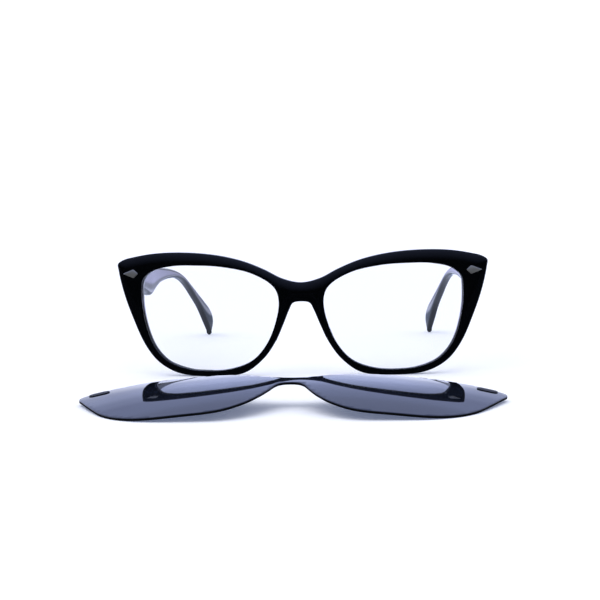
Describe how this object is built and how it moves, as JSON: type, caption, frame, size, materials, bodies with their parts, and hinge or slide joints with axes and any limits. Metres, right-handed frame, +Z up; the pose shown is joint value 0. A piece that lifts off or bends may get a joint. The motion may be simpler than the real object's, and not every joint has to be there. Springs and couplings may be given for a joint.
{
  "type": "cat eye clip-on eyeglasses",
  "caption": "Glossy black cat eye eyeglasses with folding temples and kite shaped rivets, and a tinted magnetic clip-on shade that lies on the table in front of them.",
  "frame": {"origin": "on the table, under the middle of the whole set: the glasses standing open on their rims and temple tips, with the clip lying in front of them", "axes": "+X to the right as the front is seen, +Y from the viewer towards the temple tips, +Z up"},
  "size_m": [0.1443, 0.2516, 0.0472],
  "materials": {
    "acetate": "polished",
    "demo_lens": "clear and polished",
    "rivet_steel": "satin",
    "hinge_steel": "satin",
    "core_wire": "drawn wire",
    "magnet": "nickel plated",
    "tinted_sheet": "tinted, with a thin mirror coat",
    "black_nylon": "fine matte"
  },
  "bodies": {
    "glasses_front": {"front": "acetate", "lens_left": "demo_lens", "lens_right": "demo_lens", "rivet_left": "rivet_steel", "rivet_right": "rivet_steel", "rivet_magnet_left": "magnet", "rivet_magnet_right": "magnet", "nose_pad_left": "acetate", "nose_pad_right": "acetate", "hinge_front_leaf_left": "hinge_steel", "hinge_front_leaf_right": "hinge_steel", "hinge_screw_left": "hinge_steel", "hinge_screw_right": "hinge_steel"},
    "right_temple": {"hinge_temple_leaf_right": "hinge_steel", "temple_right": "acetate", "temple_core_right": "core_wire"},
    "left_temple": {"hinge_temple_leaf_left": "hinge_steel", "temple_left": "acetate", "temple_core_left": "core_wire"},
    "clip_on": {"clip_shade": "tinted_sheet", "clip_insert_left": "black_nylon", "clip_insert_right": "black_nylon", "clip_magnet_left": "magnet", "clip_magnet_right": "magnet"}
  },
  "joints": [
    {"name": "right_temple_fold", "type": "hinge", "parent": "glasses_front", "child": "right_temple", "pos_m": [0.0629, -0.01119, 0.0384], "axis": [0, 0, 1], "range_deg": [0, 85]},
    {"name": "left_temple_fold", "type": "hinge", "parent": "glasses_front", "child": "left_temple", "pos_m": [-0.0629, -0.01119, 0.0384], "axis": [0, 0, -1], "range_deg": [0, 78]},
    {"name": "clip_lift", "type": "slide", "parent": "glasses_front", "child": "clip_on", "axis": [0, 0, 1], "range_m": [0, 0.06]}
  ]
}
